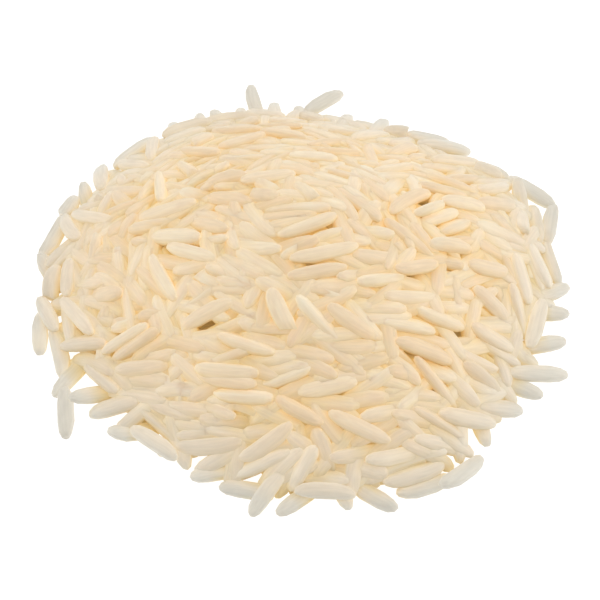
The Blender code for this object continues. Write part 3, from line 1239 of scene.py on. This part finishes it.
    def build(
        self, kernels: list[Kernel], surface: HeapSurface, material: bpy.types.Material
    ) -> bpy.types.Object:
        """Builds the piece.

        Args:
            kernels: the kernels of this kind.
            surface: the poured surface.
            material: the finish.

        Returns:
            The joined kernels.
        """
        rng = np.random.default_rng(len(kernels))
        points = self.places(kernels, rng)
        count, size = points.shape[:2]
        offsets = (np.arange(count) * size)[:, None, None]
        quads = (self.form.quads()[None] + offsets).reshape(-1, 4)
        triangles = (self.form.triangles()[None] + offsets).reshape(-1, 3)
        piece = mesh_from_arrays(self.form.kind.value, points.reshape(-1, 3), [quads, triangles])
        self.dress(piece, kernels, points, surface, rng)
        piece.data.materials.append(material)
        return piece


@dataclass
class HeapCore:
    """The inside of the heap, seen only in the gaps between kernels, painted with the darkest golden shade
    of the deepest gaps.

    Attributes:
        mound: the form of the heap.
        depth: how deep the core's top lies under the mound.
        bump: height of the bumps on its top.
        floor: height of the core's underside.
        reach: radius of the core as a share of the mound's outline.
        sectors: points round a ring.
        rings: rings from the middle to the edge.
    """

    mound: Mound
    depth: float = 3.6 * MM
    bump: float = 0.35 * MM
    floor: float = 1.8 * MM
    reach: float = 0.72
    sectors: int = 72
    rings: int = 24

    def points(self) -> Array:
        """Points of the top and the underside, ring by ring from the middle.

        The top follows the mound less the depth, with bumps of a kernel's size made of two
        crossed waves. The underside is flat.

        Returns:
            The points of the top, then those of the underside.
        """
        share = np.arange(1, self.rings + 1)[:, None] / self.rings
        turn = 2.0 * np.pi * np.arange(self.sectors)[None, :] / self.sectors
        radius = self.reach * self.mound.radius * self.mound.outline_share(turn) * share
        x = np.concatenate([[0.0], (radius * np.cos(turn)).ravel()])
        y = np.concatenate([[0.0], (radius * np.sin(turn)).ravel()])
        bent = np.sin(1.9 * x / MM + 0.7 * np.sin(1.3 * y / MM))
        bumps = self.bump * bent * np.sin(1.7 * y / MM)
        top = np.maximum(self.mound.height_at(x, y) - self.depth + bumps, self.floor + 0.3 * MM)
        upper = np.stack([x, y, top], axis=-1)
        lower = np.stack([x, y, np.full_like(x, self.floor)], axis=-1)
        return np.concatenate([upper, lower])

    def faces(self) -> list[Whole]:
        """Faces of the top, the underside and the edge."""
        side = np.arange(self.sectors)
        after = (side + 1) % self.sectors
        ring = 1 + np.arange(self.rings - 1)[:, None] * self.sectors
        under = 1 + self.rings * self.sectors
        corners = [ring + side, ring + self.sectors + side, ring + self.sectors + after, ring + after]
        top = np.stack(corners, axis=-1).reshape(-1, 4)
        middle = np.stack([np.zeros_like(side), 1 + side, 1 + after], axis=-1)
        outer = 1 + (self.rings - 1) * self.sectors
        edge = np.stack([outer + side, under + outer + side, under + outer + after, outer + after], axis=-1)
        quads = np.concatenate([top, top[:, ::-1] + under, edge])
        triangles = np.concatenate([middle, middle[:, ::-1] + under])
        return [quads, triangles]

    def build(self, material: bpy.types.Material) -> bpy.types.Object:
        """Builds the core with the attributes that its material reads.

        Args:
            material: the finish.

        Returns:
            The core.
        """
        points = self.points()
        core = mesh_from_arrays("heap_core", points, self.faces())
        set_attribute(core, "kernel_space", points / MM)
        set_attribute(core, "upward", np.tile([0.0, 0.0, 1.0], (len(points), 1)))
        # A depth of 1.0 paints the core with the darkest golden shade.
        for name, value in (("tone", 0.5), ("chalk", 0.0), ("depth", 1.0), ("among", 1.0)):
            set_attribute(core, name, np.full(len(points), value))
        core.data.materials.append(material)
        return core


@dataclass
class RiceHeap:
    """The whole heap: its core, its whole kernels and its broken ones."""

    pouring: Pouring = field(default_factory=Pouring)
    base_radius: float = 22.0 * MM

    def build(self) -> list[bpy.types.Object]:
        """Builds every piece of the heap and puts it in place of its solid.

        Returns:
            The pieces.
        """
        kernels, surface = self.pouring.pour()
        kernels += self.pouring.pour_base(self.base_radius)
        tone = RiceTone().build()
        kernel_finish = RiceFinish("milled_rice").build(tone)
        # The core's finish paints it with the darkest golden shade of the gaps.
        core_shade_finish = RiceFinish("rice_depth_shade", variation=0.5, chalk=0.0).build(tone)
        pieces = [HeapCore(self.pouring.mound).build(core_shade_finish)]
        for kind in KernelKind:
            chosen = [kernel for kernel in kernels if kernel.kind is kind]
            pile = KernelPile(KernelForm(kind), self.pouring)
            pieces.append(pile.build(chosen, surface, kernel_finish))
            log.info("%s: %d kernels", kind.value, len(chosen))
        for piece in pieces:
            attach(piece, "root")
            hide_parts("rice_heap")
            piece.visible_shadow = False
            log.info("%s: %d faces", piece.name, len(piece.data.polygons))
        return pieces


@dataclass(frozen=True)
class SoftLamp:
    """A large square lamp that shines on the heap.

    Attributes:
        name: name of the lamp.
        place: where it hangs.
        size: its width.
        power: its power in watts.
    """

    name: str
    place: tuple[float, float, float]
    size: float
    power: float

    def build(self) -> None:
        """Hangs the lamp up, turned to the origin."""
        lamp = bpy.data.lights.new(self.name, "AREA")
        lamp.energy = self.power
        lamp.size = self.size
        holder = bpy.data.objects.new(self.name, lamp)
        holder.location = self.place
        holder.rotation_euler = Vector(self.place).to_track_quat("Z", "Y").to_euler()
        bpy.context.scene.collection.objects.link(holder)


@dataclass
class Studio:
    """Pale floor, soft light and the camera.

    Attributes:
        floor_size: width of the floor.
        floor_tone: how light its surface is.
        floor_glow: brightness that the floor has by itself, so it stays white far away too.
        sky: brightness of the even light from all round.
        sky_color: its colour, warm as in the photograph's shaded places.
        lamps: a wide lamp overhead and one on each side.
        elevation: the camera's angle over the floor.
        distance: its distance from what it looks at.
        lens: its focal length in millimetres.
        target: the point that it looks at.
    """

    floor_size: float = 12.0
    floor_tone: float = 0.3
    floor_glow: float = 0.85
    sky: float = 0.4
    sky_color: tuple[float, float, float, float] = (1.0, 0.975, 0.92, 1.0)
    lamps: tuple[SoftLamp, ...] = (
        SoftLamp("lamp_overhead", (0.0, 0.08, 0.40), 0.9, 1.0),
        SoftLamp("lamp_back", (0.0, 0.42, 0.18), 0.4, 0.33),
        SoftLamp("lamp_front", (0.0, -0.42, 0.18), 0.4, 0.14),
        SoftLamp("lamp_left", (-0.42, 0.0, 0.18), 0.4, 0.72),
        SoftLamp("lamp_right", (0.42, 0.0, 0.18), 0.4, 0.9),
    )
    elevation: float = math.radians(56.0)
    distance: float = 0.1622
    lens: float = 72.0
    target: tuple[float, float, float] = (0.0, -0.002, 0.0)

    def add_floor(self) -> None:
        """Adds the plain white floor."""
        half = 0.5 * self.floor_size
        points = np.array([[-half, -half, 0.0], [half, -half, 0.0], [half, half, 0.0], [-half, half, 0.0]])
        floor = mesh_from_arrays("floor", points, [np.array([[0, 1, 2, 3]])])
        material = bpy.data.materials.new("white_floor")
        material.use_nodes = True
        shader = material.node_tree.nodes["Principled BSDF"]
        tone = self.floor_tone
        shader.inputs["Base Color"].default_value = (tone, tone, tone, 1.0)
        shader.inputs["Roughness"].default_value = 0.9
        shader.inputs["Specular IOR Level"].default_value = 0.1
        shader.inputs["Emission Color"].default_value = (1.0, 1.0, 1.0, 1.0)
        shader.inputs["Emission Strength"].default_value = self.floor_glow
        floor.data.materials.append(material)

    def add_light(self) -> None:
        """Adds the even light of a white room and the lamps."""
        world = bpy.data.worlds.new("white_room")
        world.use_nodes = True
        background = world.node_tree.nodes["Background"]
        background.inputs["Color"].default_value = self.sky_color
        background.inputs["Strength"].default_value = self.sky
        bpy.context.scene.world = world
        for lamp in self.lamps:
            lamp.build()

    def add_camera(self) -> None:
        """Adds the camera and looks through it."""
        camera = bpy.data.cameras.new("camera")
        camera.lens = self.lens
        camera.sensor_width = 36.0
        camera.clip_start = 0.01
        camera.clip_end = 20.0
        holder = bpy.data.objects.new("camera", camera)
        x, y, z = self.target
        out = self.distance * math.cos(self.elevation)
        up = self.distance * math.sin(self.elevation)
        holder.location = (x, y - out, z + up)
        holder.rotation_euler = (0.5 * math.pi - self.elevation, 0.0, 0.0)
        bpy.context.scene.collection.objects.link(holder)
        bpy.context.scene.camera = holder

    def build(self) -> None:
        """Sets up the whole studio."""
        self.add_floor()
        self.add_light()
        self.add_camera()
        bpy.context.scene.view_settings.view_transform = "Standard"


def main() -> None:
    """Builds the heap and its studio."""
    logging.basicConfig(level=logging.INFO, format="%(message)s")
    RiceHeap().build()
    Studio().build()


if __name__ == "__main__":
    main()
